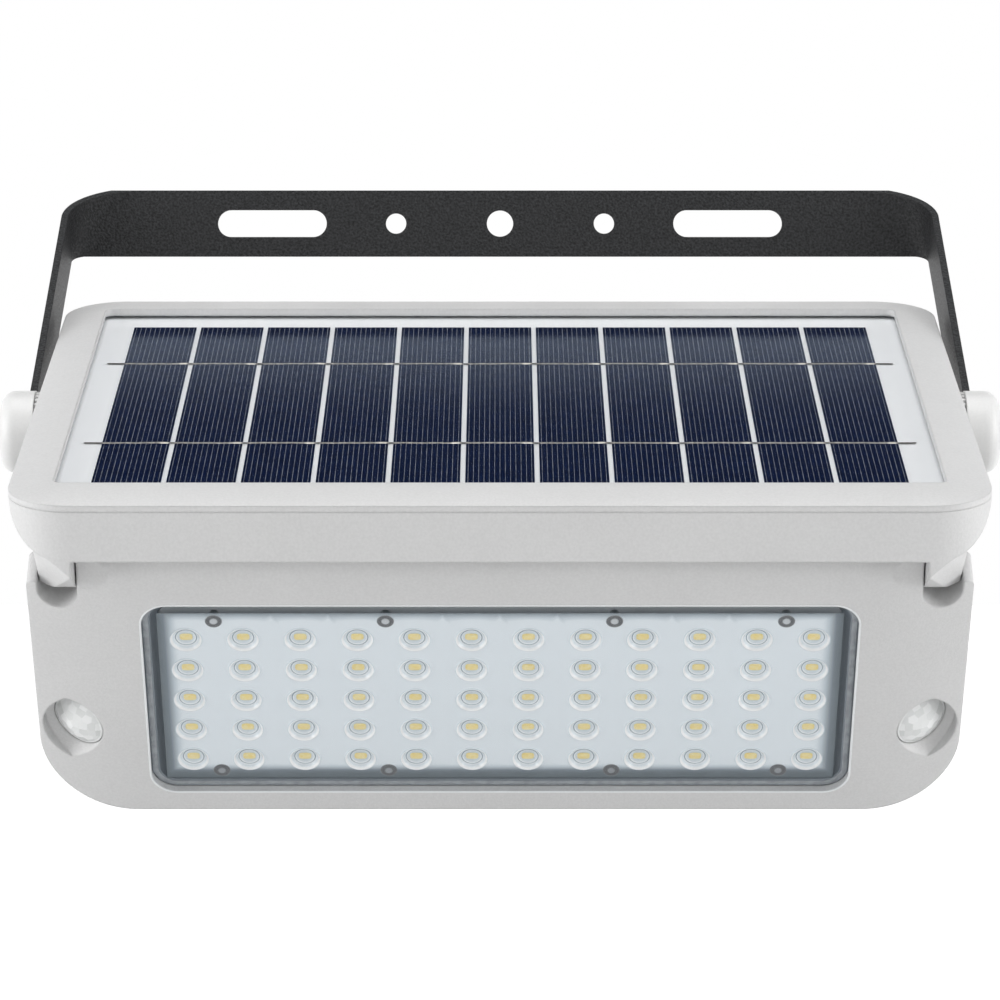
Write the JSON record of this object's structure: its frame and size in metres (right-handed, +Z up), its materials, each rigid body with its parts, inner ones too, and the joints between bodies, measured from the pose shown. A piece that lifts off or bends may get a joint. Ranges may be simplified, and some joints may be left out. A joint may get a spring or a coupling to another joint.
{
  "type": "solar flood light",
  "caption": "Wall-mounted solar flood light: a framed solar panel head tilting on a U bracket, with a hinged LED lamp head and motion sensor domes under its front edge.",
  "frame": {"origin": "centre of the bracket's centre hole, on the face that lies on the wall", "axes": "+Z up, +Y into the wall, +X to the right of someone facing the wall"},
  "size_m": [0.2782, 0.2346, 0.1771],
  "materials": {
    "bracket_coat": "fine-textured charcoal powder coat",
    "cap_white": "smooth satin",
    "plated_steel": "zinc plated",
    "casing": "fine-grained satin, light warm grey",
    "panel_film": "clear laminate film",
    "cell": "dark navy silicon under film",
    "ribbon": "tinned ribbon",
    "backsheet": "white laminate sheet",
    "black_rubber": "matt",
    "battery_sleeve": "plain shrink sleeve over the can",
    "black_plastic": "moulded",
    "board_green": "solder mask",
    "button_rubber": "matt",
    "window_clear": "clear polycarbonate",
    "frame_grey": "satin dark grey",
    "lens_clear": "clear moulded acrylic",
    "led_white": "moulded package",
    "phosphor": "yellow phosphor fill",
    "board_white": "white solder mask",
    "heat_metal": "plain sheet",
    "dome_white": "translucent white, faceted lens"
  },
  "bodies": {
    "bracket": {"bracket": "bracket_coat", "pivot_caps": "cap_white", "pivot_bolts": "plated_steel"},
    "solar_head": {"pivot_nuts": "plated_steel", "toothed_rings": "cap_white", "bezel": "casing", "panel_cover": "panel_film", "solar_cells": "cell", "cell_ribbons": "ribbon", "panel_backsheet": "backsheet", "panel_seal": "black_rubber", "tray": "casing", "tray_screws": "plated_steel", "battery_cells": "battery_sleeve", "battery_cradle": "black_plastic", "control_board": "board_green", "board_parts": "black_plastic", "mode_switch": "black_plastic", "battery_cover": "casing", "cover_seal": "black_rubber", "cover_screws": "plated_steel", "tray_gland": "black_plastic"},
    "mode_button": {"mode_button": "button_rubber"},
    "lamp_head": {"lamp_housing": "casing", "lamp_back": "casing", "back_screws": "plated_steel", "hinge_pins": "plated_steel", "lamp_window": "window_clear", "window_seal": "black_rubber", "inner_frame": "frame_grey", "lens_sheet": "lens_clear", "lens_screws": "plated_steel", "led_packages": "led_white", "led_phosphors": "phosphor", "led_board": "board_white", "heat_plate": "heat_metal", "sensor_domes": "dome_white", "sensor_cans": "plated_steel", "sensor_boards": "board_green", "lamp_gland": "black_plastic"}
  },
  "joints": [
    {"name": "head_tilt", "type": "hinge", "parent": "bracket", "child": "solar_head", "pos_m": [0, -0.114, -0.0648], "axis": [1, 0, 0], "range_deg": [-40, 45]},
    {"name": "button_press", "type": "slide", "parent": "solar_head", "child": "mode_button", "axis": [0, -0.2974, 0.9548], "range_m": [0, 0.0012], "stiffness_N_per_m": 900, "springref_m": -0.0005},
    {"name": "lamp_tilt", "type": "hinge", "parent": "solar_head", "child": "lamp_head", "pos_m": [0, -0.2126, -0.09897], "axis": [1, 0, 0], "range_deg": [-30, 35]}
  ]
}
